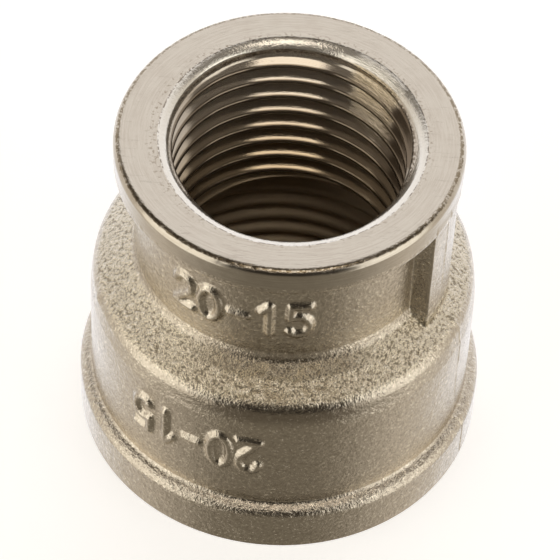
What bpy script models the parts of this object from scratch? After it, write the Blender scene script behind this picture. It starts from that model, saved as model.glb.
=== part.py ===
"""Reducing coupling with a G 3/4 socket at the foot and a G 1/2 socket at the head.

The coupling is one forged piece of nickel-plated brass, bored, threaded and faced at
both ends. Units are metres, +Z runs up the bore from the wide end to the narrow end,
and the origin is at the centre of the wide end's face.
"""

import math

import bmesh
import bpy
from mathutils import Vector

MM = 0.001
SEGMENTS = 48

# Overall sizes, with the narrow end called the head and the wide end the foot
HEIGHT = 32.0 * MM
FLANGE_RADIUS = 14.0 * MM
NECK_RADIUS = 12.3 * MM
BODY_TOP_RADIUS = 15.75 * MM
BODY_RADIUS = 16.0 * MM
BEAD_RADIUS = 17.0 * MM

# Depths below the head's face of the outside's arc centres
FLANGE_DEPTH = 2.3 * MM
NECK_TOP_DEPTH = 3.7 * MM
NECK_FOOT_DEPTH = 11.84 * MM
BODY_TOP_DEPTH = 15.88 * MM
BEAD_CORNER_DEPTH = 26.95 * MM
BEAD_TOP_DEPTH = 28.3 * MM

# Depth below the head's face where the body reaches its full radius
BODY_FULL_DEPTH = 17.3 * MM

# Edges and fillets of the outside
HEAD_EDGE = 0.6 * MM
FLANGE_EDGE = 0.5 * MM
NECK_FILLET = 0.9 * MM
SHOULDER_FILLET = 2.0 * MM
SHOULDER_EDGE = 1.4 * MM
SHOULDER_SLOPE = 32
BEAD_FILLET = 0.4 * MM
BEAD_EDGE = 1.0 * MM
BEAD_SLOPE = 22
FOOT_EDGE = 0.15 * MM

# Threads, 55 degree parallel pipe threads of 14 turns to the inch, right-handed
PITCH = 25.4 * MM / 14
THREAD_DEPTH = 0.640327 * PITCH
HEAD_MAJOR_RADIUS = 20.955 * MM / 2
FOOT_MAJOR_RADIUS = 26.441 * MM / 2
HEAD_CREST_DEPTH = 1.92 * MM
FOOT_CREST_HEIGHT = 0.9 * MM
CREST_AZIMUTH = math.radians(90)
HEAD_LEAD_IN = 0.6 * MM
FOOT_LEAD_IN = 0.4 * MM
LEDGE_HEIGHT = 16.0 * MM
RUN_OUT_START = 13.2 * MM
RUN_OUT_END = 14.8 * MM
CREST_HALF_WIDTH = 1 / 12
FLANK_WIDTH = 1 / 3
MERGE_DISTANCE = 0.002 * MM

# Upright rib on the neck, where the two halves of the forging die met
RIB_AZIMUTH = math.radians(-22.5)
RIB_HALF_WIDTH = 2.3 * MM
RIB_RADIUS = 13.85 * MM
RIB_INNER_RADIUS = 11.3 * MM
RIB_TOP_DEPTH = 1.5 * MM
RIB_FOOT_DEPTH = 15.0 * MM
RIB_FACE_STEPS = 4

# Raised nominal sizes, the head's upright and the foot's upside down
MARK = "20-15"
MARK_RELIEF = 0.35 * MM
MARK_ROOT = 0.3 * MM
MARK_STROKE = 0.62 * MM
MARK_DIGIT_WIDTH = 1.75 * MM
MARK_ADVANCE = 2.45 * MM
HEAD_MARK_HEIGHT = 4.0 * MM
HEAD_MARK_DEPTH = 7.7 * MM
HEAD_MARK_AZIMUTH = math.radians(-106)
FOOT_MARK_HEIGHT = 4.4 * MM
FOOT_MARK_DEPTH = 21.0 * MM
FOOT_MARK_AZIMUTH = math.radians(-115)

# Centre lines of the raised numerals, in a box one unit wide and one unit high
DIGIT_PATHS = {
    "0": [(0.2, 0.0), (0.8, 0.0), (1.0, 0.2), (1.0, 0.8), (0.8, 1.0), (0.2, 1.0), (0.0, 0.8), (0.0, 0.2)],
    "1": [(0.1, 0.75), (0.55, 1.0), (0.55, 0.0)],
    "2": [(0.0, 0.85), (0.25, 1.0), (0.75, 1.0), (1.0, 0.8), (1.0, 0.6), (0.0, 0.0), (1.0, 0.0)],
    "5": [(1.0, 1.0), (0.0, 1.0), (0.0, 0.55), (0.75, 0.55), (1.0, 0.4), (1.0, 0.2), (0.75, 0.0), (0.0, 0.0)],
    "-": [(0.1, 0.5), (0.9, 0.5)],
}
CLOSED_DIGITS = ("0",)


def clear_scene():
    for obj in list(bpy.data.objects):
        bpy.data.objects.remove(obj, do_unlink=True)


def nickel_plate():
    """Satin nickel plate over brass."""
    material = bpy.data.materials.new("nickel_plate")
    material.use_nodes = True
    shader = material.node_tree.nodes["Principled BSDF"]
    shader.inputs["Base Color"].default_value = (0.66, 0.62, 0.55, 1.0)
    shader.inputs["Metallic"].default_value = 1.0
    shader.inputs["Roughness"].default_value = 0.33
    return material


def arc(centre, radius, start, end, steps):
    """Points (r, z) on an arc, both ends included, with angles in degrees."""
    points = []
    for i in range(steps + 1):
        angle = math.radians(start + (end - start) * i / steps)
        points.append((centre[0] + radius * math.cos(angle), centre[1] + radius * math.sin(angle)))
    return points


def outer_profile():
    """Outside of the coupling, from the head's face down to the foot's face, as (r, z)."""
    level = 90
    points = arc((FLANGE_RADIUS - HEAD_EDGE, HEIGHT - HEAD_EDGE), HEAD_EDGE, level, 0, 3)
    points += arc((FLANGE_RADIUS - FLANGE_EDGE, HEIGHT - FLANGE_DEPTH), FLANGE_EDGE, 0, -60, 2)
    points += arc((NECK_RADIUS + NECK_FILLET, HEIGHT - NECK_TOP_DEPTH), NECK_FILLET, 100, 180, 2)
    neck_foot = (NECK_RADIUS + SHOULDER_FILLET, HEIGHT - NECK_FOOT_DEPTH)
    points += arc(neck_foot, SHOULDER_FILLET, 180, 180 + level - SHOULDER_SLOPE, 3)
    body_top = (BODY_TOP_RADIUS - SHOULDER_EDGE, HEIGHT - BODY_TOP_DEPTH)
    points += arc(body_top, SHOULDER_EDGE, level - SHOULDER_SLOPE, 0, 4)
    points.append((BODY_RADIUS, HEIGHT - BODY_FULL_DEPTH))
    bead_corner = (BODY_RADIUS + BEAD_FILLET, HEIGHT - BEAD_CORNER_DEPTH)
    points += arc(bead_corner, BEAD_FILLET, 180, 180 + level - BEAD_SLOPE, 2)
    bead_top = (BEAD_RADIUS - BEAD_EDGE, HEIGHT - BEAD_TOP_DEPTH)
    points += arc(bead_top, BEAD_EDGE, level - BEAD_SLOPE, 0, 3)
    points += [(BEAD_RADIUS, FOOT_EDGE), (BEAD_RADIUS - FOOT_EDGE, 0.0)]
    return points


def groove_radius(major_radius, turns):
    """Radius of a thread's surface, with turns counted in pitches above a crest's middle."""
    minor_radius = major_radius - THREAD_DEPTH
    from_crest = abs(turns - round(turns))
    rise = (from_crest - CREST_HALF_WIDTH) / FLANK_WIDTH
    return minor_radius + THREAD_DEPTH * min(max(rise, 0.0), 1.0)


def head_bore_radius(azimuth, z):
    """Radius of the narrow bore: the thread, opened by the head's 45 degree lead-in."""
    crest = HEIGHT - HEAD_CREST_DEPTH + PITCH * (azimuth - CREST_AZIMUTH) / math.tau
    thread = groove_radius(HEAD_MAJOR_RADIUS, (z - crest) / PITCH)
    cone = HEAD_MAJOR_RADIUS + HEAD_LEAD_IN - (HEIGHT - z)
    return max(thread, cone)


def foot_bore_radius(azimuth, z):
    """Radius of the wide bore: the thread, its run-out below the ledge and its lead-in."""
    crest = FOOT_CREST_HEIGHT + PITCH * (azimuth - CREST_AZIMUTH) / math.tau
    thread = groove_radius(FOOT_MAJOR_RADIUS, (z - crest) / PITCH)
    minor_radius = FOOT_MAJOR_RADIUS - THREAD_DEPTH
    left = (RUN_OUT_END - z) / (RUN_OUT_END - RUN_OUT_START)
    thread = minor_radius + (thread - minor_radius) * min(max(left, 0.0), 1.0)
    cone = FOOT_MAJOR_RADIUS + FOOT_LEAD_IN - z
    return max(thread, cone)


def thread_column(bore_radius, crest_height, azimuth, low, high):
    """Corners (r, z) of a thread at one azimuth, upwards, held between two heights.

    Corners past an end are put on that end, where they merge, so every column has the
    same number of points and the last column meets the first one pitch further on.
    """
    lift = PITCH * (azimuth - CREST_AZIMUTH) / math.tau
    root_start = CREST_HALF_WIDTH + FLANK_WIDTH
    first = math.floor((low - crest_height) / PITCH) - 2
    last = math.ceil((high - crest_height) / PITCH) + 2
    points = [(bore_radius(azimuth, low), low)]
    for turn in range(first, last):
        for offset in (-CREST_HALF_WIDTH, CREST_HALF_WIDTH, root_start, 1 - root_start):
            z = crest_height + lift + PITCH * (turn + offset)
            z = min(max(z, low), high)
            points.append((bore_radius(azimuth, z), z))
    points.append((bore_radius(azimuth, high), high))
    return points


def section(azimuth):
    """The wall's whole outline (r, z) at one azimuth: outside, foot, threads, ledge, head."""
    points = outer_profile()
    points.append((FOOT_MAJOR_RADIUS + FOOT_LEAD_IN, 0.0))
    points += thread_column(foot_bore_radius, FOOT_CREST_HEIGHT, azimuth, FOOT_LEAD_IN, RUN_OUT_END)
    points.append((FOOT_MAJOR_RADIUS - THREAD_DEPTH, LEDGE_HEIGHT))
    head_crest_height = HEIGHT - HEAD_CREST_DEPTH
    thread_top = HEIGHT - HEAD_LEAD_IN
    points += thread_column(head_bore_radius, head_crest_height, azimuth, LEDGE_HEIGHT, thread_top)
    points.append((HEAD_MAJOR_RADIUS + HEAD_LEAD_IN, HEIGHT))
    return points


def add_object(name, mesh_builder):
    """Make an object from a bmesh, with its faces pointing outwards."""
    bmesh.ops.recalc_face_normals(mesh_builder, faces=mesh_builder.faces)
    mesh = bpy.data.meshes.new(name)
    mesh_builder.to_mesh(mesh)
    mesh_builder.free()
    obj = bpy.data.objects.new(name, mesh)
    bpy.context.scene.collection.objects.link(obj)
    return obj


def add_threaded_body():
    """The wall's outline carried round the bore, so that both threads are true helices."""
    builder = bmesh.new()
    columns = []
    for step in range(SEGMENTS + 1):
        azimuth = math.tau * step / SEGMENTS
        column = []
        for radius, z in section(azimuth):
            column.append(builder.verts.new((radius * math.cos(azimuth), radius * math.sin(azimuth), z)))
        columns.append(column)
    for left, right in zip(columns, columns[1:]):
        count = len(left)
        for i in range(count):
            k = (i + 1) % count
            builder.faces.new((left[i], left[k], right[k], right[i]))
    bmesh.ops.remove_doubles(builder, verts=builder.verts, dist=MERGE_DISTANCE)
    body = add_object("coupling_body", builder)
    body.data.materials.append(nickel_plate())
    return body


def mitred_sides(path, width, closed):
    """The left and right edges of a stroke of even width that follows a path."""
    points = [Vector(point) for point in path]
    count = len(points)
    left = []
    right = []
    for i, point in enumerate(points):
        has_before = closed or i > 0
        has_after = closed or i < count - 1
        into = (point - points[i - 1]).normalized() if has_before else None
        out = (points[(i + 1) % count] - point).normalized() if has_after else into
        into = into or out
        middle = (into + out).normalized()
        across = Vector((-middle.y, middle.x))
        reach = width / 2 / across.dot(Vector((-out.y, out.x)))
        left.append(point + across * reach)
        right.append(point - across * reach)
    return left, right


def add_stroke(builder, path, closed, radius, azimuth, z):
    """One raised numeral: a bar along its path, wrapped on a cylinder and rooted in the wall."""
    rings = []
    for a, b in zip(*mitred_sides(path, MARK_STROKE, closed)):
        ring = []
        for side, r in ((a, radius - MARK_ROOT), (a, radius + MARK_RELIEF),
                        (b, radius + MARK_RELIEF), (b, radius - MARK_ROOT)):
            angle = azimuth + side.x / radius
            ring.append(builder.verts.new((r * math.cos(angle), r * math.sin(angle), z + side.y)))
        rings.append(ring)
    pairs = list(zip(rings, rings[1:]))
    if closed:
        pairs.append((rings[-1], rings[0]))
    else:
        builder.faces.new(rings[0])
        builder.faces.new(list(reversed(rings[-1])))
    for first, second in pairs:
        for i in range(4):
            k = (i + 1) % 4
            builder.faces.new((first[i], first[k], second[k], second[i]))


def add_mark(name, radius, azimuth, z, height, upright):
    """A row of raised numerals round a cylinder, centred on an azimuth and a height."""
    builder = bmesh.new()
    facing = 1 if upright else -1
    start = -MARK_ADVANCE * (len(MARK) - 1) / 2
    for i, character in enumerate(MARK):
        path = []
        for x, y in DIGIT_PATHS[character]:
            across = start + i * MARK_ADVANCE + (x - 0.5) * MARK_DIGIT_WIDTH
            path.append((facing * across, facing * (y - 0.5) * (height - MARK_STROKE)))
        add_stroke(builder, path, character in CLOSED_DIGITS, radius, azimuth, z)
    return add_object(name, builder)


def add_rib():
    """The upright rib, nearly flush with the flange, that runs down into the shoulder."""
    builder = bmesh.new()
    half_angle = math.asin(RIB_HALF_WIDTH / RIB_RADIUS)
    outline = [(RIB_INNER_RADIUS, RIB_HALF_WIDTH), (RIB_INNER_RADIUS, -RIB_HALF_WIDTH)]
    for i in range(RIB_FACE_STEPS + 1):
        angle = half_angle * (2 * i / RIB_FACE_STEPS - 1)
        outline.append((RIB_RADIUS * math.cos(angle), RIB_RADIUS * math.sin(angle)))
    foot = [builder.verts.new((x, y, HEIGHT - RIB_FOOT_DEPTH)) for x, y in outline]
    extruded = bmesh.ops.extrude_face_region(builder, geom=[builder.faces.new(foot)])
    top = [item for item in extruded["geom"] if isinstance(item, bmesh.types.BMVert)]
    bmesh.ops.translate(builder, verts=top, vec=(0.0, 0.0, RIB_FOOT_DEPTH - RIB_TOP_DEPTH))
    rib = add_object("rib", builder)
    rib.rotation_euler.z = RIB_AZIMUTH
    return rib


def unite(body, shape):
    """Join a helper shape to the body with a Boolean, and hide the helper."""
    shape.hide_render = True
    shape.display_type = "WIRE"
    modifier = body.modifiers.new("join_" + shape.name, "BOOLEAN")
    modifier.operation = "UNION"
    modifier.solver = "EXACT"
    modifier.object = shape


def main():
    clear_scene()
    body = add_threaded_body()
    unite(body, add_rib())
    unite(body, add_mark("head_mark", NECK_RADIUS, HEAD_MARK_AZIMUTH,
                         HEIGHT - HEAD_MARK_DEPTH, HEAD_MARK_HEIGHT, True))
    unite(body, add_mark("foot_mark", BODY_RADIUS, FOOT_MARK_AZIMUTH,
                         HEIGHT - FOOT_MARK_DEPTH, FOOT_MARK_HEIGHT, False))
    body.data.shade_smooth()
    body.data.set_sharp_from_angle(angle=math.radians(30))


main()
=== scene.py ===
"""Looks of the reducing coupling: a finely modelled skin for its one forged body.

The skin keeps to the CAD body's heights and radii. It is one closed mesh: an outer shell,
turned round a rounded outline with one rib and raised numerals, and an inner shell that
follows both helical threads, zipped together on the two end faces. Lengths here are in
millimetres until a mesh is made.
"""

import math

import bmesh
import bpy
import numpy as np
from mathutils import Matrix, Vector, noise


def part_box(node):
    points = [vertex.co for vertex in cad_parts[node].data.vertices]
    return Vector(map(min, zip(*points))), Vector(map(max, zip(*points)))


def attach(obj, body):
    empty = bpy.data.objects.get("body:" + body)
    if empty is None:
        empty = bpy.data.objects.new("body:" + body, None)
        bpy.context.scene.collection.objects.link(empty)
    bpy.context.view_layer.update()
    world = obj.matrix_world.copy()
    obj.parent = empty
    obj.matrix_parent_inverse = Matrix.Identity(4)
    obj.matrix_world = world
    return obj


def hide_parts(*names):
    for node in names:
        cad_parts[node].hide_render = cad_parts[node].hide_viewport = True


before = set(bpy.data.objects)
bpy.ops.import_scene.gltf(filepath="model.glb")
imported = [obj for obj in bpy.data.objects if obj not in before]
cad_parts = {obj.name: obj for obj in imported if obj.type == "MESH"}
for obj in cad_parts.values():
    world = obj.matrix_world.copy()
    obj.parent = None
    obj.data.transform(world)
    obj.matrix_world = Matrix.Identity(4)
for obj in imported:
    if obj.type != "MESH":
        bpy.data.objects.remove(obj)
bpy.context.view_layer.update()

MM = 0.001
BODY_NODE = "coupling_body"
LOW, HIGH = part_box(BODY_NODE)

# Sizes that follow the CAD body's box
HEIGHT = HIGH.z / MM
BEAD_RADIUS = HIGH.x / MM
BODY_RADIUS = BEAD_RADIUS - 1.0
FLANGE_RADIUS = BEAD_RADIUS - 3.0
NECK_RADIUS = BEAD_RADIUS - 4.7

# 55 degree parallel pipe threads, 14 turns to the inch, right-handed
PITCH = 25.4 / 14
THREAD_DEPTH = 0.640327 * PITCH
HEAD_MAJOR = 20.955 / 2
FOOT_MAJOR = 26.441 / 2
HEAD_CREST = HEIGHT - 1.92
FOOT_CREST = 0.9
CREST_AZIMUTH = math.radians(90)
# Form of the groove: in pitches along the bore, and in thread depths across it
CREST_HALF_FLAT = 1 / 12
FLANK_SPAN = 1 / 3
CREST_ROUNDING = 0.12
ROOT_ROUNDING = 0.3
# The narrow thread is shallow under the lead-in and reaches its full depth below it
FULL_THREAD_START = 1.4
FULL_THREAD_RUN = 0.9

# Lead-in at the head: its rim's radius, smaller on the left and larger in front
HEAD_LEAD_IN = 0.6
HEAD_EDGE = 11.0
HEAD_EDGE_SHIFT = 0.5
HEAD_EDGE_FRONT = 0.22
HEAD_LEAD_IN_REACH = 0.8
# It is an arc with some draft below it, and in front a flat shelf
LEAD_IN_RADIUS = 1.6
LEAD_IN_START = math.radians(13)
LEAD_IN_DRAFT = 0.75
FRONT_SHELF = 0.6
FRONT_SHELF_SLOPE = math.radians(19)
FRONT_SHELF_FROM = 0.15
FRONT_SHELF_BLEND = 0.5

# The wide bore: lead-in at the foot, and a thread that runs out under the ledge
FOOT_LEAD_IN = 0.4
LEDGE_HEIGHT = HEIGHT / 2
RUN_OUT_START = 13.2
RUN_OUT_END = 14.8

# Rows of the inner shell in each turn of thread, in pitches from a crest, and down the lead-in
THREAD_ROWS = (-0.12, -0.085, -0.05, 0.05, 0.085, 0.12, 0.18, 0.26, 0.34, 0.42, 0.5, 0.58, 0.66, 0.76, 0.82)
LEAD_IN_ROWS = (0.5, 0.42, 0.34, 0.27, 0.2, 0.14, 0.09, 0.05, 0.02, 0.004)
INNER_COLUMNS = 168
INTO_LEAD_IN = 0.9
EDGE_BLEND = 0.05
THREAD_BLEND = 0.08

# Rib and flash line at the forging die's parting plane
RIB_AZIMUTH = math.radians(-22.5)
RIB_HALF_WIDTH = 2.3
RIB_RADIUS = 13.85
RIB_EDGE = 0.22
RIB_FILLET = 0.4
RIB_TOP = HEIGHT - 1.7
RIB_BOTTOM = HEIGHT - 15.5
FLASH_HEIGHT = 0.07
FLASH_WIDTH = 0.13
FLASH_MEAN = 0.7
FLASH_SWING = 0.5
FLASH_WAVELENGTH = 1.1
SLIT_DEPTH = 0.14
SLIT_WIDTH = 0.1
SLIT_SHIFT = 0.05
SLIT_BOTTOM = 0.6
SLIT_TOP = 4.6

# Unevenness of the forging (height, wavelength, seed), which stops just above the foot
FORGED_WAVES = ((0.022, 4.5, 1), (0.014, 1.3, 2))
FORGED_BOTTOM = 0.4

# Small nicks along the flange's upper edge
BURR_DEPTH = 0.05
BURR_RADIUS = FLANGE_RADIUS - 0.35
BURR_WIDTH = 0.3
BURR_BOTTOM = HEIGHT - 0.7
BURR_WAVELENGTH = 0.75
BURR_RIM = (FLANGE_RADIUS - 0.52, FLANGE_RADIUS - 0.3, 0.06)

# A small bruise on the shoulder's edge
NICK_AZIMUTH = math.radians(-163)
NICK_HEIGHT = HEIGHT - 15.6
NICK_RISE = 0.12
NICK_WIDTH = 0.45

# Raised nominal sizes
MARK = "20-15"
MARK_RELIEF = 0.34
MARK_HALF_STROKE = 0.1
MARK_SLOPE = 0.42
MARK_DIGIT_WIDTH = 1.75
MARK_ADVANCE = 2.45
MARKS = (
    # radius, height above the foot, azimuth, numeral height, facing
    (NECK_RADIUS, HEIGHT - 7.7, math.radians(-106), 4.0, 1),
    (BODY_RADIUS, HEIGHT - 21.0, math.radians(-115), 4.4, -1),
)

# Where the inner and the outer shell end on the faces
HEAD_SEAM = (11.9, 12.3)
FOOT_SEAM = (14.1, 14.5)

TURNED, CAST, THREADED = range(3)

# Colours of the metal: clean, worn and stained, and painted shade and a painted reflection
FACED_DULL = (0.61, 0.555, 0.48, 1.0)
FACED_CLEAN = (0.69, 0.64, 0.56, 1.0)
FACED_DARK = (0.3, 0.25, 0.18, 1.0)
BLASTED_HOLLOW = (0.57, 0.51, 0.43, 1.0)
BLASTED_RAISED = (0.68, 0.62, 0.53, 1.0)
SHOULDER_HOLLOW = (0.35, 0.3, 0.22, 1.0)
SHOULDER_RAISED = (0.78, 0.71, 0.58, 1.0)
GRAIN_PEAK = (0.88, 0.82, 0.71, 1.0)
# Painted shade in the corner at the neck's foot, at the front
NECK_FOOT_PAINTED_SHADE = (0.31, 0.26, 0.195, 1.0)
# Painted shade under the shoulder's edge, at the front
UNDER_EDGE_PAINTED_SHADE = (0.25, 0.21, 0.165, 1.0)
SHOULDER_STAIN = (0.54, 0.46, 0.33, 1.0)
THREAD_UPPER = (0.68, 0.62, 0.54, 1.0)
THREAD_MIDDLE = (0.58, 0.47, 0.33, 1.0)
THREAD_LOWER = (0.6, 0.5, 0.37, 1.0)
THREAD_TORN = (0.74, 0.6, 0.38, 1.0)
# Painted shade on the threads' crests and roots and on one wall of the narrow bore, also the colour of the
# ticks at its rim
THREAD_SHADE_AND_TICKS = (0.2, 0.155, 0.11, 1.0)
# The lead-in's colour is a painted reflection, much lighter than the metal itself
LEAD_IN_PAINTED_REFLECTION = (0.93, 0.9, 0.84, 1.0)

# Bands (low, high, soft edge) of height on the outside, and of azimuth at the front
SHOULDER_BAND = (HEIGHT - 14.7, HEIGHT - 13.2, 0.55)
NECK_FOOT_BAND = (HEIGHT - 13.5, HEIGHT - 12.4, 0.5)
# Heights where the corner at the neck's foot is painted darker as painted shade
NECK_FOOT_SHADE_BAND = (HEIGHT - 13.7, HEIGHT - 12.7, 0.35)
BEAD_BAND = (HEIGHT - 28.0, HEIGHT - 27.3, 0.4)
STAIN_SIDE = (-1.75, -1.4, 0.35)
NECK_FOOT_SIDE = (-1.9, -1.2, 0.35)
UNDER_EDGE_SIDE = (-1.85, -1.25, 0.5)
# Painted shade under the shoulder's edge: heights where it rises, and where it ends
UNDER_EDGE_RISE = (HEIGHT - 17.3, HEIGHT - 16.0)
UNDER_EDGE_END = (HEIGHT - 15.2, HEIGHT - 15.5)

# Bands of the narrow bore: azimuths, and depths below the head
TORN_SIDE = (0.62, 1.0, 0.12)
# Where the narrow bore's right-hand wall is painted dark as painted shade
PAINTED_SHADE_SIDE = (-0.05, 0.5, 0.12)
PAINTED_SHADE_DEPTH = (1.4, 10.0, 0.8)
TICK_DEPTH = (0.72, 1.0, 0.12)
# Depths where a look is absent and where it is full
TORN_START_ENDS = (1.35, 1.15)
TORN_ENDS = (8.0, 3.5)
THREAD_BROWNS = (3.0, 14.0)
WIDE_BORE_LIGHTENS = (15.0, 18.0)
WIDE_BORE_DULLS = (14.0, 18.0)
# Roughness in the narrow and in the wide bore
THREAD_ROUGHNESS = (0.08, 0.6)

# Brightness and tint of the studio's parts, as the metal mirrors them
STUDIO_FRONT = (0.2, 0.175, 0.135, 1.0)
STUDIO_SIDE = (0.64, 0.575, 0.485, 1.0)
STUDIO_BACK = (1.2, 1.2, 1.25, 1.0)
STUDIO_BACK_HIGH = (0.97, 0.935, 0.915, 1.0)
STUDIO_SHADE = (0.03, 0.025, 0.019, 1.0)
STUDIO_CEILING = (0.09, 0.073, 0.056, 1.0)
STUDIO_LEFT_BOX = (1.28, 1.2, 1.05, 1.0)
STUDIO_RIGHT_BOX = (1.3, 1.24, 1.12, 1.0)
STUDIO_OVERHEAD = (1.7, 1.53, 1.3, 1.0)

# Bands of degrees that they fill: turn from the front to the right, and elevation. The overhead
# box is given by its sides at a height of one. The ceiling starts higher up towards the back.
SHADE_TURN = (-32.0, 34.0, 12.0)
SHADE_ELEVATION = (14.0, 60.0, 38.0)
LEFT_BOX_TURN = (-84.0, -40.0, 7.0)
LEFT_BOX_ELEVATION = (-28.0, 44.0, 12.0)
RIGHT_BOX_TURN = (45.0, 80.0, 7.0)
RIGHT_BOX_ELEVATION = (-28.0, 38.0, 12.0)
OVERHEAD_X = (-0.19, 0.37, 0.01)
OVERHEAD_Y = (-0.56, -0.12, 0.05)
CEILING_START = 30.0
CEILING_END = 42.0
CEILING_LIFT = 30.0
CEILING_LIFT_AZIMUTH = math.radians(75)

# The floor round the object, and a darker disc of it under the bore as painted shade, in metres
FLOOR_HALF = 2.0
FLOOR_DROP = 0.02 * MM
FLOOR_COLOUR = (0.9, 0.9, 0.9, 1.0)
FLOOR_GLOW = 0.56
DISC_RADIUS = 0.015
DISC_DROP = 0.01 * MM
DISC_SIDES = 48
DISC_PAINTED_SHADE = (0.55, 0.48, 0.39, 1.0)

# The camera: place in metres, and the angles of its view in radians
CAMERA_PLACE = (0.0, -166.81 * MM, 217.47 * MM)
CAMERA_PITCH = 0.8836
CAMERA_YAW = -0.0015
CAMERA_ROLL = 0.0486
CAMERA_LENS = 203.16
CAMERA_SENSOR = 36.0


# ---------------------------------------------------------------- small helpers


def smooth_max(a, b, k):
    """The larger of two values, blended over a width k."""
    h = np.maximum(k - np.abs(a - b), 0.0) / k
    return np.maximum(a, b) + h * h * k / 4


def smooth_min(a, b, k):
    """The smaller of two values, blended over a width k."""
    return -smooth_max(-a, -b, k)


def smooth_step(x):
    """0 below 0 and 1 above 1, with a soft step between."""
    x = np.clip(x, 0.0, 1.0)
    return x * x * (3 - 2 * x)


def wrapped(angle):
    """An angle brought between -pi and pi."""
    return (angle + math.pi) % math.tau - math.pi


def noise_field(points, wavelength, seed):
    """Smooth noise from -1 to 1 at each point, with features about a wavelength across."""
    shift = Vector((seed * 17.3, seed * 5.1, seed * 9.7))
    flat = points.reshape(-1, 3) / wavelength
    values = [noise.noise(Vector(p) + shift) for p in flat]
    return np.array(values).reshape(points.shape[:-1])


# ---------------------------------------------------------------- outer shell


def arc_between(start, corner, end, fillet, steps):
    """Points on the arc that rounds a corner, from its start to its end."""
    into = (corner - start).normalized()
    out = (end - corner).normalized()
    turn = into.angle(out)
    reach = fillet * math.tan(turn / 2)
    side = 1 if into.cross(out) > 0 else -1
    centre = corner - into * reach + Vector((-into.y, into.x)) * fillet * side
    spoke = corner - into * reach - centre
    points = []
    for i in range(steps + 1):
        points.append(centre + Matrix.Rotation(side * turn * i / steps, 2) @ spoke)
    return points


def rounded_outline(corners):
    """Rows (r, z, finish) along a path through corners, with every fillet drawn as an arc.

    A corner is (r, z, fillet, arc steps, run steps, finish of the run that follows it).
    A support row just outside each arc keeps the shading of the flat runs flat.
    """
    support = 0.05
    spots = [Vector(corner[:2]) for corner in corners]
    rows = [(spots[0], corners[0][5])]
    for i in range(1, len(corners)):
        fillet, arc_steps = corners[i][2:4]
        run_steps, finish = corners[i - 1][4:6]
        last = rows[-1][0]
        if fillet:
            arc = arc_between(spots[i - 1], spots[i], spots[i + 1], fillet, arc_steps)
        else:
            arc = [spots[i]]
        ahead = arc[0] - last
        for step in range(1, run_steps):
            rows.append((last + ahead * step / run_steps, finish))
        if fillet:
            rows.append((arc[0] - ahead.normalized() * support, finish))
        for point in arc:
            rows.append((point, finish))
        if fillet:
            out = (spots[i + 1] - spots[i]).normalized()
            rows.append((arc[-1] + out * support, corners[i][5]))
    return rows


def outside_corners():
    """The coupling's outside, from the head's face round to the foot's face."""
    return [
        (HEAD_SEAM[1], HEIGHT, 0, 0, 3, TURNED),
        (FLANGE_RADIUS - 0.02, HEIGHT, 0.6, 7, 4, TURNED),
        (FLANGE_RADIUS - 0.02, HEIGHT - 1.6, 0, 0, 2, CAST),
        (FLANGE_RADIUS - 0.02, HEIGHT - 2.7, 0.5, 4, 1, CAST),
        (NECK_RADIUS, HEIGHT - 3.0, 0.9, 5, 4, CAST),
        (NECK_RADIUS, HEIGHT - 5.3, 0, 0, 24, CAST),
        (NECK_RADIUS, HEIGHT - 10.1, 0, 0, 3, CAST),
        (NECK_RADIUS, HEIGHT - 12.95, 2.0, 8, 1, CAST),
        (13.8, HEIGHT - 14.04, 3.0, 2, 2, CAST),
        (15.68, HEIGHT - 15.13, 1.4, 9, 2, CAST),
        (BODY_RADIUS - 0.05, HEIGHT - 17.2, 3.0, 3, 2, CAST),
        (BODY_RADIUS - 0.03, HEIGHT - 18.4, 0, 0, 24, CAST),
        (BODY_RADIUS, HEIGHT - 23.6, 0, 0, 6, CAST),
        (BODY_RADIUS, HEIGHT - 27.18, 0.36, 4, 1, CAST),
        (BEAD_RADIUS - 0.01, HEIGHT - 27.68, 1.0, 7, 7, CAST),
        (BEAD_RADIUS - 0.01, 0.0, 0.12, 2, 3, TURNED),
        (FOOT_SEAM[1], 0.0, 0, 0, 0, TURNED),
    ]


def outside_azimuths():
    """Columns round the outer shell, closest at the numerals, the rib's walls and the flash."""
    fine = np.radians(np.arange(-180, 180, 0.05))
    spacing = np.full(fine.shape, 1.3)
    for radius, _, azimuth, _, _ in MARKS:
        reach = (MARK_ADVANCE * len(MARK) / 2 + 0.5) / radius
        spacing[np.abs(wrapped(fine - azimuth)) < reach] = 0.5
    wall = math.asin(RIB_HALF_WIDTH / NECK_RADIUS) - math.radians(0.7)
    off = np.abs(wrapped(fine - RIB_AZIMUTH))
    spacing[np.abs(off - wall) < math.radians(1.8)] = 0.3
    spacing[off < math.radians(0.9)] = 0.25
    along = np.concatenate([[0.0], np.cumsum(0.05 / spacing)])
    count = round(along[-1])
    even = np.arange(count) * along[-1] / count
    return np.interp(even, along, np.append(fine, math.pi))


def rib_radius(azimuth):
    """Radius of the rib's surface, whose walls stay parallel to the parting plane."""
    off = np.abs(wrapped(azimuth - RIB_AZIMUTH))
    wall = RIB_HALF_WIDTH / np.sin(np.clip(off, 0.05, math.pi / 2))
    return smooth_min(wall, RIB_RADIUS, RIB_EDGE)


def ellipse(x, y, rx, ry, start, end, steps):
    """Points on an elliptical arc, with angles in degrees."""
    angles = np.radians(np.linspace(start, end, steps + 1))
    return [(x + rx * math.cos(a), y + ry * math.sin(a)) for a in angles]


def digit_path(character):
    """Centre line of a raised numeral, in a box one unit wide and one unit high."""
    if character == "0":
        return ellipse(0.5, 0.5, 0.5, 0.5, 90, 450, 24)
    if character == "1":
        return [(0.15, 0.76), (0.55, 1.0), (0.55, 0.0)]
    if character == "2":
        return ellipse(0.5, 0.7, 0.48, 0.3, 170, -35, 10) + [(0.02, 0.0), (1.0, 0.0)]
    if character == "5":
        bowl = ellipse(0.45, 0.32, 0.52, 0.32, 125, -140, 12)
        return [(0.95, 1.0), (0.12, 1.0), (0.08, 0.56)] + bowl
    return [(0.1, 0.5), (0.9, 0.5)]


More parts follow.
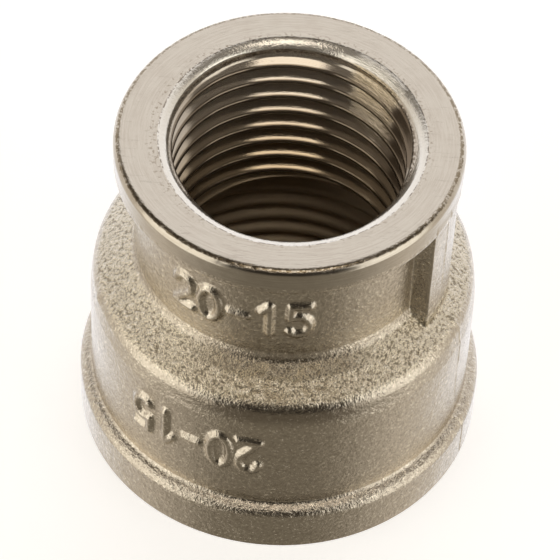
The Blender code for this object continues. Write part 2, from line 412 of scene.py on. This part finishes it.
def distance_to_path(x, y, path):
    """Distance of each point (x, y) from a path of straight pieces."""
    nearest = np.full(x.shape, 1e9)
    for (ax, ay), (bx, by) in zip(path, path[1:]):
        dx, dy = bx - ax, by - ay
        t = np.clip(((x - ax) * dx + (y - ay) * dy) / (dx * dx + dy * dy), 0.0, 1.0)
        nearest = np.minimum(nearest, np.hypot(x - ax - t * dx, y - ay - t * dy))
    return nearest


def mark_relief(radius, z, azimuth):
    """Height of the raised numerals over the outer shell."""
    relief = np.zeros(z.shape)
    for mark_radius, mark_height, centre, height, facing in MARKS:
        x = facing * wrapped(azimuth - centre) * mark_radius
        y = facing * (z - mark_height)
        near = (np.abs(x) < 8) & (np.abs(y) < height) & (np.abs(radius - mark_radius) < 0.3)
        first = -MARK_ADVANCE * (len(MARK) - 1) / 2
        for i, character in enumerate(MARK):
            path = []
            for u, v in digit_path(character):
                across = first + i * MARK_ADVANCE + (u - 0.5) * MARK_DIGIT_WIDTH
                path.append((across, (v - 0.5) * (height - 2 * MARK_HALF_STROKE - MARK_SLOPE)))
            off = distance_to_path(x[near], y[near], path)
            rise = smooth_step(1 - (off - MARK_HALF_STROKE) / MARK_SLOPE)
            relief[near] = np.maximum(relief[near], MARK_RELIEF * rise)
    return relief


def outer_shell():
    """Grid of points (rows, columns, 3) round the outside, and each row's finish."""
    rows = rounded_outline(outside_corners())
    r = np.array([point.x for point, _ in rows])
    z = np.array([point.y for point, _ in rows])
    finish = np.array([kind for _, kind in rows])
    slope_r, slope_z = np.gradient(r), np.gradient(z)
    length = np.hypot(slope_r, slope_z)
    out_r, out_z = -slope_z / length, slope_r / length

    azimuth = outside_azimuths()[None, :]
    r, z, out_r, out_z = (np.repeat(v[:, None], azimuth.size, 1) for v in (r, z, out_r, out_z))
    azimuth = np.repeat(azimuth, len(rows), 0)
    cast = (finish == CAST)[:, None] * np.where(z > FORGED_BOTTOM, 1.0, 0.0)

    ribbed = (z < RIB_TOP) & (z > RIB_BOTTOM)
    r = np.where(ribbed, smooth_max(r, rib_radius(azimuth), RIB_FILLET), r)

    spots = np.stack([r * np.cos(azimuth), r * np.sin(azimuth), z], -1)
    push = mark_relief(r, z, azimuth)
    for wave_height, wavelength, seed in FORGED_WAVES:
        push += cast * wave_height * noise_field(spots, wavelength, seed)
    burr = np.exp(-(((r - BURR_RADIUS) / BURR_WIDTH) ** 2)) * (z > BURR_BOTTOM)
    push -= burr * BURR_DEPTH * np.maximum(0.0, noise_field(spots, BURR_WAVELENGTH, 4))
    off = wrapped(azimuth - RIB_AZIMUTH) * r
    ragged = FLASH_MEAN + FLASH_SWING * noise_field(spots, FLASH_WAVELENGTH, 3)
    push += cast * FLASH_HEIGHT * ragged * np.exp(-((off / FLASH_WIDTH) ** 2))
    slit = np.exp(-(((off - SLIT_SHIFT) / SLIT_WIDTH) ** 2)) * (z > SLIT_BOTTOM) * (z < SLIT_TOP)
    push -= SLIT_DEPTH * slit
    away = np.hypot(wrapped(azimuth - NICK_AZIMUTH) * r, z - NICK_HEIGHT)
    push += cast * NICK_RISE * np.exp(-((away / NICK_WIDTH) ** 2))
    r = np.minimum(r + push * out_r, BEAD_RADIUS)
    z = np.minimum(z + push * out_z, HEIGHT)
    return np.stack([r * np.cos(azimuth), r * np.sin(azimuth), z], -1), finish


# ---------------------------------------------------------------- inner shell


def groove(major, turns):
    """Thread radius, with turns counted in pitches from a crest, crest and root rounded."""
    from_crest = np.abs(turns - np.round(turns))
    rise = (from_crest - CREST_HALF_FLAT) / FLANK_SPAN
    rise = smooth_max(smooth_min(rise, 1.0, ROOT_ROUNDING), 0.0, CREST_ROUNDING)
    return major - THREAD_DEPTH + THREAD_DEPTH * rise


def head_edge(azimuth):
    """Radius of the lead-in's rim, a little smaller on the left and larger in front."""
    left = np.maximum(0.0, -np.cos(azimuth)) ** 2
    front = np.maximum(0.0, -np.sin(azimuth)) ** 2
    return HEAD_EDGE - HEAD_EDGE_SHIFT * left + HEAD_EDGE_FRONT * front


def lead_in_reach(azimuth, depth):
    """How far the lead-in has come in from its rim: rounded all round, flatter at the front."""
    fall = np.clip(math.cos(LEAD_IN_START) - depth / LEAD_IN_RADIUS, 0.0, 1.0)
    rounded = LEAD_IN_RADIUS * (np.sqrt(1.0 - fall * fall) - math.sin(LEAD_IN_START))
    rounded = rounded + LEAD_IN_DRAFT * np.maximum(depth - HEAD_LEAD_IN, 0.0)
    shelf_depth = FRONT_SHELF * math.tan(FRONT_SHELF_SLOPE)
    flat = FRONT_SHELF + LEAD_IN_DRAFT * (depth - shelf_depth)
    flat = np.minimum(depth / math.tan(FRONT_SHELF_SLOPE), flat)
    front = smooth_step((-np.sin(azimuth) - FRONT_SHELF_FROM) / FRONT_SHELF_BLEND)
    return rounded + (flat - rounded) * front


def head_bore(azimuth, z):
    """Radius of the narrow bore: a thread that deepens over its first turn, and its lead-in."""
    crest = HEAD_CREST + PITCH * (azimuth - CREST_AZIMUTH) / math.tau
    depth = HEIGHT - z
    wall = head_edge(azimuth) - HEAD_LEAD_IN_REACH
    wall = wall + (HEAD_MAJOR - wall) * smooth_step((depth - FULL_THREAD_START) / FULL_THREAD_RUN)
    thread = smooth_min(groove(HEAD_MAJOR, (z - crest) / PITCH), wall, THREAD_BLEND)
    return smooth_max(thread, head_edge(azimuth) - lead_in_reach(azimuth, depth), EDGE_BLEND)


def foot_bore(azimuth, z):
    """Radius of the wide bore: thread, run-out under the ledge and lead-in."""
    crest = FOOT_CREST + PITCH * (azimuth - CREST_AZIMUTH) / math.tau
    minor = FOOT_MAJOR - THREAD_DEPTH
    left = np.clip((RUN_OUT_END - z) / (RUN_OUT_END - RUN_OUT_START), 0.0, 1.0)
    thread = minor + (groove(FOOT_MAJOR, (z - crest) / PITCH) - minor) * left
    return smooth_max(thread, FOOT_MAJOR + FOOT_LEAD_IN - z, EDGE_BLEND)


def thread_rows(bore, crest_height, azimuth, low, high, offsets):
    """Rows (r, z) that follow a thread upwards, held between two heights."""
    lift = PITCH * (azimuth - CREST_AZIMUTH) / math.tau
    first = math.floor((low - crest_height) / PITCH) - 2
    last = math.ceil((high - crest_height) / PITCH) + 2
    rows = []
    for turn in range(first, last):
        for offset in offsets:
            z = np.clip(crest_height + lift + PITCH * (turn + offset), low, high)
            rows.append((bore(azimuth, z), z))
    return rows


def ring(azimuth, r, z):
    """A level row (r, z)."""
    return np.full_like(azimuth, r), np.full_like(azimuth, z)


def inner_shell():
    """Grid of points from the foot's face up through both threads to the head's face."""
    azimuth = np.linspace(0, math.tau, INNER_COLUMNS + 1)
    foot_minor = FOOT_MAJOR - THREAD_DEPTH
    foot_edge = FOOT_MAJOR + FOOT_LEAD_IN
    rim = head_edge(azimuth)
    thread_bottom = FOOT_LEAD_IN * INTO_LEAD_IN
    thread_top = HEIGHT - HEAD_LEAD_IN * INTO_LEAD_IN

    foot_face = []
    for step in (FOOT_SEAM[0] - foot_edge, 0.1, 0.03):
        foot_face.append(ring(azimuth, foot_edge + step, 0.0))
    foot_face += [ring(azimuth, foot_edge - 0.02, 0.02)]
    foot_thread = thread_rows(foot_bore, FOOT_CREST, azimuth, thread_bottom, RUN_OUT_END, THREAD_ROWS[::2])
    ledge = [ring(azimuth, foot_minor, RUN_OUT_END)]
    ledge += [ring(azimuth, foot_minor, LEDGE_HEIGHT - step) for step in (0.2, 0.15)]
    ledge += [ring(azimuth, foot_minor - 0.04, LEDGE_HEIGHT - 0.04)]
    ledge += [ring(azimuth, foot_minor - step, LEDGE_HEIGHT) for step in (0.15, 0.2)]
    edge_radius = head_bore(azimuth, np.full_like(azimuth, LEDGE_HEIGHT))
    for step in (0.1, 0.04):
        ledge.append((edge_radius + step, np.full_like(azimuth, LEDGE_HEIGHT)))
    head_thread = thread_rows(head_bore, HEAD_CREST, azimuth, LEDGE_HEIGHT + 0.04, thread_top, THREAD_ROWS)
    lead_in = []
    for depth in LEAD_IN_ROWS:
        level = np.full_like(azimuth, HEIGHT - depth)
        lead_in.append((head_bore(azimuth, level), level))
    head_face = [(rim + step, np.full_like(azimuth, HEIGHT)) for step in (0.01, 0.03, 0.3)]
    head_face += [ring(azimuth, HEAD_SEAM[0], HEIGHT)]

    rows = foot_face + foot_thread + ledge + head_thread + lead_in + head_face
    finish = [TURNED] * len(foot_face) + [THREADED] * (len(rows) - len(foot_face) - len(head_face))
    finish += [TURNED] * len(head_face)
    r = np.array([row[0] for row in rows])
    z = np.array([row[1] for row in rows])
    return np.stack([r * np.cos(azimuth), r * np.sin(azimuth), z], -1), np.array(finish)


# ---------------------------------------------------------------- the mesh


def grid_faces(rows, columns, first, closed):
    """Quads of a grid of points, numbered from first."""
    i = np.arange(rows - 1)[:, None]
    j = np.arange(columns if closed else columns - 1)[None, :]
    k = (j + 1) % columns
    corners = (i * columns + j, i * columns + k, (i + 1) * columns + k, (i + 1) * columns + j)
    return (np.stack(np.broadcast_arrays(*corners), -1) + first).reshape(-1, 4)


def zip_rings(first_ring, first_azimuths, second_ring, second_azimuths):
    """Triangles between two rings of points that both start near the same azimuth."""
    faces = []
    i, j = 0, 0
    n, m = len(first_ring), len(second_ring)
    first_azimuths = np.append(first_azimuths, first_azimuths[0] + math.tau)
    second_azimuths = np.append(second_azimuths, second_azimuths[0] + math.tau)
    while i < n or j < m:
        on_first = j == m or (i < n and first_azimuths[i + 1] <= second_azimuths[j + 1])
        a, b = first_ring[i % n], second_ring[j % m]
        if on_first:
            faces.append((a, first_ring[(i + 1) % n], b))
            i += 1
        else:
            faces.append((a, second_ring[(j + 1) % m], b))
            j += 1
    return faces


def coupling_mesh():
    """The whole skin as one closed mesh, with a material index for each face."""
    outer, outer_finish = outer_shell()
    inner, inner_finish = inner_shell()
    outer_count = outer.shape[0] * outer.shape[1]
    quads = np.concatenate([
        grid_faces(outer.shape[0], outer.shape[1], 0, True),
        grid_faces(inner.shape[0], inner.shape[1], outer_count, False),
    ])
    finishes = list(np.repeat(outer_finish[:-1], outer.shape[1]))
    finishes += list(np.repeat(inner_finish[1:], inner.shape[1] - 1))

    faces = quads.tolist()
    turns = np.arctan2(outer[0, :, 1], outer[0, :, 0])
    order = np.argsort(turns % math.tau)
    outer_azimuths = (turns % math.tau)[order]
    inner_azimuths = np.linspace(0, math.tau, INNER_COLUMNS, endpoint=False)
    for outer_row, inner_row in ((0, inner.shape[0] - 1), (outer.shape[0] - 1, 0)):
        outer_ring = (outer_row * outer.shape[1] + order).tolist()
        start = outer_count + inner_row * inner.shape[1]
        inner_ring = list(range(start, start + INNER_COLUMNS))
        zipped = zip_rings(outer_ring, outer_azimuths, inner_ring, inner_azimuths)
        faces += zipped
        finishes += [TURNED] * len(zipped)

    points = np.concatenate([outer.reshape(-1, 3), inner.reshape(-1, 3)]) * MM
    mesh = bpy.data.meshes.new("coupling_skin")
    mesh.from_pydata(points.tolist(), [], faces)
    mesh.polygons.foreach_set("material_index", np.array(finishes, np.int32))
    builder = bmesh.new()
    builder.from_mesh(mesh)
    bmesh.ops.remove_doubles(builder, verts=builder.verts, dist=0.002 * MM)
    bmesh.ops.recalc_face_normals(builder, faces=builder.faces)
    builder.to_mesh(mesh)
    builder.free()
    mesh.shade_smooth()
    return mesh


# ---------------------------------------------------------------- materials


class Nodes:
    """Short calls for wiring a node tree."""

    def __init__(self, tree):
        self.tree = tree

    def add(self, kind, inputs=(), **settings):
        """A new node, with settings, and with each input linked to a socket or set to a value."""
        node = self.tree.nodes.new(kind)
        for name, value in settings.items():
            setattr(node, name, value)
        for key, value in dict(inputs).items():
            if isinstance(value, bpy.types.NodeSocket):
                self.tree.links.new(value, node.inputs[key])
            else:
                node.inputs[key].default_value = value
        return node

    def math(self, operation, a, b=0.0):
        """The result of one operation on one or two numbers."""
        return self.add("ShaderNodeMath", {0: a, 1: b}, operation=operation).outputs[0]

    def noise(self, vector, scale, detail, roughness):
        """Smooth noise about one half."""
        inputs = {"Vector": vector, "Scale": scale, "Detail": detail, "Roughness": roughness}
        return self.add("ShaderNodeTexNoise", inputs).outputs["Fac"]

    def map_range(self, value, from_min, from_max, to_min, to_max):
        """A value taken evenly from one range to another, and held to its ends."""
        inputs = {"Value": value, "From Min": from_min, "From Max": from_max}
        inputs.update({"To Min": to_min, "To Max": to_max})
        return self.add("ShaderNodeMapRange", inputs).outputs["Result"]

    def smooth(self, value, start, end):
        """0 below a start value and 1 above an end value, with a soft step between."""
        inputs = {"Value": value, "From Min": start, "From Max": end}
        node = self.add("ShaderNodeMapRange", inputs, interpolation_type="SMOOTHSTEP")
        return node.outputs["Result"]

    def mix(self, factor, a, b):
        """Colour a where the factor is 0, and colour b where it is 1."""
        node = self.add("ShaderNodeMix", {0: factor, 6: a, 7: b}, data_type="RGBA")
        return node.outputs[2]

    def combine(self, x, y, z):
        """A vector of three numbers."""
        return self.add("ShaderNodeCombineXYZ", {0: x, 1: y, 2: z}).outputs[0]


def new_metal(name):
    """A metallic Principled material, its node helper and its shader."""
    material = bpy.data.materials.new(name)
    material.use_nodes = True
    shader = material.node_tree.nodes["Principled BSDF"]
    shader.inputs["Metallic"].default_value = 1.0
    return material, Nodes(material.node_tree), shader


def place_in_millimetres(nodes):
    """Object coordinates in millimetres, with the radius, the azimuth and the height."""
    spot = nodes.add("ShaderNodeTexCoord").outputs["Object"]
    spot = nodes.add("ShaderNodeVectorMath", {0: spot, "Scale": 1 / MM}, operation="SCALE").outputs[0]
    parts = nodes.add("ShaderNodeSeparateXYZ", {0: spot}).outputs
    squares = nodes.math("ADD", nodes.math("MULTIPLY", parts[0], parts[0]),
                         nodes.math("MULTIPLY", parts[1], parts[1]))
    radius = nodes.math("SQRT", squares)
    azimuth = nodes.math("ARCTAN2", parts[1], parts[0])
    return spot, radius, azimuth, parts[2]


def window(nodes, value, band):
    """1 where a value lies in a band (low, high, soft), falling to 0 over soft edges outside it."""
    low, high, soft = band
    rise = nodes.smooth(value, low - soft, low)
    fall = nodes.smooth(value, high, high + soft)
    return nodes.math("MULTIPLY", rise, nodes.math("SUBTRACT", 1.0, fall))


def in_both(nodes, first, first_band, second, second_band):
    """1 where two values both lie in their bands."""
    return nodes.math("MULTIPLY", window(nodes, first, first_band), window(nodes, second, second_band))


def connect(nodes, shader, colour, roughness, bump):
    """Links a metal's colour, roughness and bump to its shader."""
    nodes.tree.links.new(colour, shader.inputs["Base Color"])
    nodes.tree.links.new(roughness, shader.inputs["Roughness"])
    nodes.tree.links.new(bump.outputs[0], shader.inputs["Normal"])


def turned_metal():
    """Faced and turned nickel: fine rings left by the tool, a few scratches, a ragged burr
    round the rim of the face, darker in patches, and grime in nicks beside the bore."""
    material, nodes, shader = new_metal("turned_nickel")
    spot, radius, azimuth, height = place_in_millimetres(nodes)
    along_ring = nodes.combine(radius, nodes.math("MULTIPLY", azimuth, 0.5), height)
    rings = nodes.noise(along_ring, 7.0, 3.0, 0.7)
    haze = nodes.noise(spot, 0.6, 4.0, 0.6)
    stretch = {0: spot, 2: (0.0, 0.0, 0.5), 3: (0.25, 4.0, 1.0)}
    stretched = nodes.add("ShaderNodeMapping", stretch).outputs[0]
    scratch = nodes.smooth(nodes.noise(stretched, 1.4, 4.0, 0.7), 0.61, 0.67)

    ragged = nodes.noise(spot, 2.6, 3.0, 0.7)
    reach = nodes.math("ADD", radius, nodes.math("MULTIPLY", nodes.math("SUBTRACT", ragged, 0.5), 0.5))
    rim = window(nodes, reach, BURR_RIM)
    top = nodes.math("GREATER_THAN", height, HEIGHT - 0.6)
    burr = nodes.math("MULTIPLY", rim, top)
    burr_depth = nodes.math("MULTIPLY", burr, nodes.math("MULTIPLY", ragged, 2.0))
    relief = nodes.math("SUBTRACT", rings, burr_depth)
    relief = nodes.math("SUBTRACT", relief, nodes.math("MULTIPLY", scratch, 0.5))
    bump = nodes.add("ShaderNodeBump", {"Strength": 0.35, "Distance": 0.02 * MM, "Height": relief})
    shade = nodes.math("ADD", nodes.math("MULTIPLY", haze, 0.4), nodes.math("MULTIPLY", rings, 0.6))
    colour = nodes.mix(nodes.smooth(shade, 0.36, 0.62), FACED_DULL, FACED_CLEAN)
    burr_dark = nodes.math("MULTIPLY", burr, nodes.smooth(ragged, 0.62, 0.45))
    colour = nodes.mix(burr_dark, colour, FACED_DARK)
    by_bore = nodes.smooth(radius, HEAD_EDGE + 0.7, HEAD_EDGE)
    nicks = nodes.smooth(nodes.noise(spot, 3.4, 2.0, 0.6), 0.56, 0.66)
    nick_grime = nodes.math("MULTIPLY", nodes.math("MULTIPLY", by_bore, nicks), 0.6)
    colour = nodes.mix(nick_grime, colour, FACED_DARK)
    connect(nodes, shader, colour, nodes.map_range(haze, 0.3, 0.7, 0.16, 0.26), bump)
    return material


def cast_metal():
    """Nickel over a shot-blasted forging: an even grain, coarser on the shoulder and the bead,
    with bright peaks, a brown stain, and painted shade at the front in the corner at the neck's
    foot and under the shoulder's edge."""
    material, nodes, shader = new_metal("blasted_nickel")
    spot, radius, azimuth, height = place_in_millimetres(nodes)
    fine = nodes.noise(spot, 5.6, 2.0, 0.6)
    coarse = nodes.noise(spot, 2.9, 2.0, 0.5)
    lumps = nodes.noise(spot, 1.1, 2.0, 0.5)
    shoulder = window(nodes, height, SHOULDER_BAND)
    grain = nodes.math("ADD", nodes.math("MULTIPLY", fine, 0.45), nodes.math("MULTIPLY", coarse, 0.55))
    bead = window(nodes, height, BEAD_BAND)
    rough = nodes.math("ADD", 1.05, nodes.math("MULTIPLY", shoulder, 2.8))
    rough = nodes.math("ADD", rough, nodes.math("MULTIPLY", bead, 0.9))
    neck_foot = window(nodes, height, NECK_FOOT_BAND)
    rough = nodes.math("ADD", rough, nodes.math("MULTIPLY", neck_foot, 1.1))
    relief = nodes.math("ADD", nodes.math("MULTIPLY", grain, rough), nodes.math("MULTIPLY", lumps, 0.5))
    specks = nodes.smooth(nodes.noise(spot, 4.6, 1.0, 0.5), 0.69, 0.75)
    relief = nodes.math("ADD", relief, nodes.math("MULTIPLY", specks, 0.8))
    bump = nodes.add("ShaderNodeBump", {"Strength": 1.0, "Distance": 0.07 * MM, "Height": relief})
    hollow = nodes.mix(shoulder, BLASTED_HOLLOW, SHOULDER_HOLLOW)
    raised = nodes.mix(shoulder, BLASTED_RAISED, SHOULDER_RAISED)
    colour = nodes.mix(nodes.smooth(grain, 0.38, 0.5), hollow, raised)
    colour = nodes.mix(nodes.smooth(grain, 0.56, 0.63), colour, GRAIN_PEAK)

    # The corner at the neck's foot is painted darker at the front: painted shade
    corner = in_both(nodes, height, NECK_FOOT_SHADE_BAND, azimuth, NECK_FOOT_SIDE)
    colour = nodes.mix(nodes.math("MULTIPLY", corner, 0.7), colour, NECK_FOOT_PAINTED_SHADE)
    # Darker under the shoulder's edge at the front: painted shade
    under_edge = nodes.math("MULTIPLY", nodes.smooth(height, *UNDER_EDGE_RISE),
                            nodes.smooth(height, *UNDER_EDGE_END))
    under_edge = nodes.math("MULTIPLY", under_edge, window(nodes, azimuth, UNDER_EDGE_SIDE))
    colour = nodes.mix(nodes.math("MULTIPLY", under_edge, 0.6), colour, UNDER_EDGE_PAINTED_SHADE)
    front = nodes.math("MULTIPLY", shoulder, window(nodes, azimuth, STAIN_SIDE))
    stain = nodes.smooth(nodes.noise(spot, 0.9, 3.0, 0.6), 0.42, 0.62)
    stained = nodes.math("MULTIPLY", nodes.math("MULTIPLY", front, stain), 0.6)
    colour = nodes.mix(stained, colour, SHOULDER_STAIN)

    haze = nodes.noise(spot, 0.35, 3.0, 0.6)
    roughness = nodes.math("SUBTRACT", nodes.map_range(haze, 0.3, 0.7, 0.17, 0.26),
                           nodes.math("MULTIPLY", shoulder, 0.05))
    connect(nodes, shader, colour, roughness, bump)
    return material


def thread_metal():
    """Nickel over cut threads: fine lines along the helix, torn flanks on one side, a lead-in painted
    bright as a painted reflection, crests, roots and the right-hand wall painted dark as painted
    shade, dark ticks at the rim, browner deep inside and rough in the wide bore."""
    material, nodes, shader = new_metal("threaded_nickel")
    shader.inputs["Metallic"].default_value = 0.75
    spot, radius, azimuth, height = place_in_millimetres(nodes)
    along_thread = nodes.combine(nodes.math("MULTIPLY", azimuth, 0.8), radius, height)
    lines = nodes.noise(along_thread, 8.0, 3.0, 0.7)
    torn = nodes.noise(spot, 4.0, 3.0, 0.65)
    depth = nodes.math("SUBTRACT", HEIGHT, height)
    start = nodes.smooth(depth, *TORN_START_ENDS)
    start = nodes.math("ADD", nodes.math("MULTIPLY", start, 2.4), 0.12)
    torn_side = nodes.math("MULTIPLY", window(nodes, azimuth, TORN_SIDE), nodes.smooth(depth, *TORN_ENDS))
    drag = nodes.math("ADD", 0.6, nodes.math("MULTIPLY", torn_side, 6.0))
    relief = nodes.math("ADD", nodes.math("MULTIPLY", lines, drag), nodes.math("MULTIPLY", start, torn))
    bump = nodes.add("ShaderNodeBump", {"Strength": 0.4, "Distance": 0.03 * MM, "Height": relief})

    colour = nodes.mix(nodes.smooth(depth, *THREAD_BROWNS), THREAD_UPPER, THREAD_MIDDLE)
    colour = nodes.mix(nodes.smooth(depth, *WIDE_BORE_LIGHTENS), colour, THREAD_LOWER)
    colour = nodes.mix(nodes.math("MULTIPLY", torn_side, 0.5), colour, THREAD_TORN)
    # The lead-in is painted near white: a painted reflection
    colour = nodes.mix(nodes.smooth(depth, HEAD_LEAD_IN, HEAD_LEAD_IN - 0.1), colour, LEAD_IN_PAINTED_REFLECTION)

    # Crests, roots and the right-hand wall are painted dark: painted shade
    in_root = window(nodes, radius, (HEAD_MAJOR - 0.1, HEAD_MAJOR + 0.1, 0.2))
    in_root = nodes.math("MULTIPLY", in_root, nodes.smooth(depth, 0.7, 1.0))
    crest = HEAD_MAJOR - THREAD_DEPTH
    on_crest = nodes.smooth(radius, crest + 0.22, crest + 0.12)
    right_wall_shade = in_both(nodes, azimuth, PAINTED_SHADE_SIDE, depth, PAINTED_SHADE_DEPTH)
    shade_and_ticks = nodes.math("MULTIPLY", nodes.math("MAXIMUM", in_root, on_crest), 0.82)
    shade_and_ticks = nodes.math("MAXIMUM", shade_and_ticks, nodes.math("MULTIPLY", right_wall_shade, 0.95))
    ticks = nodes.smooth(nodes.noise(spot, 3.2, 3.0, 0.7), 0.44, 0.54)
    at_rim = nodes.math("MAXIMUM", nodes.smooth(depth, 0.05, 0.02), window(nodes, depth, TICK_DEPTH))
    ticks = nodes.math("MULTIPLY", nodes.math("MULTIPLY", ticks, at_rim), 0.85)
    shade_and_ticks = nodes.math("MAXIMUM", shade_and_ticks, ticks)
    colour = nodes.mix(shade_and_ticks, colour, THREAD_SHADE_AND_TICKS)
    roughness = nodes.map_range(depth, *WIDE_BORE_DULLS, *THREAD_ROUGHNESS)
    connect(nodes, shader, colour, roughness, bump)
    return material


# ---------------------------------------------------------------- studio


def add_sheet(name, corners, height, material):
    """A level sheet with a material."""
    mesh = bpy.data.meshes.new(name)
    mesh.from_pydata(corners, [], [tuple(range(len(corners)))])
    mesh.materials.append(material)
    sheet = bpy.data.objects.new(name, mesh)
    bpy.context.scene.collection.objects.link(sheet)
    sheet.location.z = height
    return sheet


def pale_material(name, colour, glow):
    """A matt material with some light of its own."""
    material = bpy.data.materials.new(name)
    material.use_nodes = True
    shader = material.node_tree.nodes["Principled BSDF"]
    shader.inputs["Base Color"].default_value = colour
    shader.inputs["Roughness"].default_value = 0.9
    shader.inputs["Specular IOR Level"].default_value = 0.0
    shader.inputs["Emission Color"].default_value = (1.0, 1.0, 1.0, 1.0)
    shader.inputs["Emission Strength"].default_value = glow
    return material


def add_floor():
    """A plain pale floor that the metal doesn't mirror, and a darker disc of it under the bore as painted
    shade.
    """
    sides = ((-1, -1), (1, -1), (1, 1), (-1, 1))
    corners = [(x * FLOOR_HALF, y * FLOOR_HALF, 0.0) for x, y in sides]
    floor_material = pale_material("pale_floor", FLOOR_COLOUR, FLOOR_GLOW)
    floor = add_sheet("floor", corners, LOW.z - FLOOR_DROP, floor_material)
    floor.visible_glossy = False
    turns = np.linspace(0, math.tau, DISC_SIDES, endpoint=False)
    rim = [(math.cos(a) * DISC_RADIUS, math.sin(a) * DISC_RADIUS, 0.0) for a in turns]
    # The disc is painted darker than the floor: painted shade under the bore
    disc_material = pale_material("painted_shade_floor", DISC_PAINTED_SHADE, 0.0)
    patch = add_sheet("floor_under_bore", rim, LOW.z - DISC_DROP, disc_material)


def add_world():
    """A studio round the object, built from directions: a pale back wall, a dim front, two tall
    soft boxes at the front corners, a dim ceiling and a small box overhead."""
    world = bpy.data.worlds.new("studio")
    bpy.context.scene.world = world
    world.use_nodes = True
    nodes = Nodes(world.node_tree)
    direction = nodes.add("ShaderNodeTexCoord").outputs["Generated"]
    x, y, z = nodes.add("ShaderNodeSeparateXYZ", {0: direction}).outputs[:3]
    elevation = nodes.math("MULTIPLY", nodes.math("ARCSINE", z), math.degrees(1))
    level = nodes.math("SQRT", nodes.math("ADD", nodes.math("MULTIPLY", x, x), nodes.math("MULTIPLY", y, y)))
    behind = nodes.math("DIVIDE", y, nodes.math("MAXIMUM", level, 0.001))
    from_front = nodes.math("ARCTAN2", x, nodes.math("MULTIPLY", y, -1.0))
    turn = nodes.math("MULTIPLY", from_front, math.degrees(1))

    back = nodes.mix(nodes.smooth(elevation, -15.0, 30.0), STUDIO_BACK, STUDIO_BACK_HIGH)
    wall = nodes.mix(nodes.smooth(behind, -1.0, 0.1), STUDIO_FRONT, STUDIO_SIDE)
    wall = nodes.mix(nodes.smooth(behind, 0.1, 1.0), wall, back)
    shade = in_both(nodes, turn, SHADE_TURN, elevation, SHADE_ELEVATION)
    light = nodes.mix(shade, wall, STUDIO_SHADE)

    from_lift = nodes.math("SUBTRACT", nodes.math("ARCTAN2", y, x), CEILING_LIFT_AZIMUTH)
    lift = nodes.smooth(nodes.math("COSINE", from_lift), 0.5, 0.9)
    over = nodes.math("SUBTRACT", elevation, nodes.math("MULTIPLY", lift, CEILING_LIFT))
    light = nodes.mix(nodes.smooth(over, CEILING_START, CEILING_END), light, STUDIO_CEILING)

    left_box = in_both(nodes, turn, LEFT_BOX_TURN, elevation, LEFT_BOX_ELEVATION)
    right_box = in_both(nodes, turn, RIGHT_BOX_TURN, elevation, RIGHT_BOX_ELEVATION)
    light = nodes.mix(left_box, light, STUDIO_LEFT_BOX)
    light = nodes.mix(right_box, light, STUDIO_RIGHT_BOX)

    above = nodes.math("MAXIMUM", z, 0.01)
    over_x = nodes.math("DIVIDE", x, above)
    over_y = nodes.math("DIVIDE", y, above)
    overhead = in_both(nodes, over_x, OVERHEAD_X, over_y, OVERHEAD_Y)
    overhead = nodes.math("MULTIPLY", overhead, nodes.math("GREATER_THAN", z, 0.1))
    light = nodes.mix(overhead, light, STUDIO_OVERHEAD)
    world.node_tree.links.new(light, world.node_tree.nodes["Background"].inputs["Color"])


def add_camera():
    """The camera looks down on the head from the front, nearly level sideways."""
    data = bpy.data.cameras.new("camera")
    data.lens = CAMERA_LENS
    data.sensor_width = CAMERA_SENSOR
    data.clip_start = 0.01
    data.clip_end = 10.0
    camera = bpy.data.objects.new("camera", data)
    bpy.context.scene.collection.objects.link(camera)
    level = math.cos(CAMERA_PITCH)
    ahead = Vector((math.sin(CAMERA_YAW) * level, math.cos(CAMERA_YAW) * level, -math.sin(CAMERA_PITCH)))
    right = ahead.cross(Vector((0, 0, 1))).normalized()
    up = right.cross(ahead)
    across = right * math.cos(CAMERA_ROLL) + up * math.sin(CAMERA_ROLL)
    upright = up * math.cos(CAMERA_ROLL) - right * math.sin(CAMERA_ROLL)
    turn = Matrix((across, upright, -ahead)).transposed().to_4x4()
    camera.matrix_world = Matrix.Translation(CAMERA_PLACE) @ turn
    bpy.context.scene.camera = camera


def main():
    add_camera()
    add_world()
    add_floor()
    bpy.context.scene.view_settings.view_transform = "Standard"

    skin = bpy.data.objects.new("coupling_skin", coupling_mesh())
    bpy.context.scene.collection.objects.link(skin)
    for material in (turned_metal(), cast_metal(), thread_metal()):
        skin.data.materials.append(material)
    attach(skin, "root")
    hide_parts(BODY_NODE)


main()
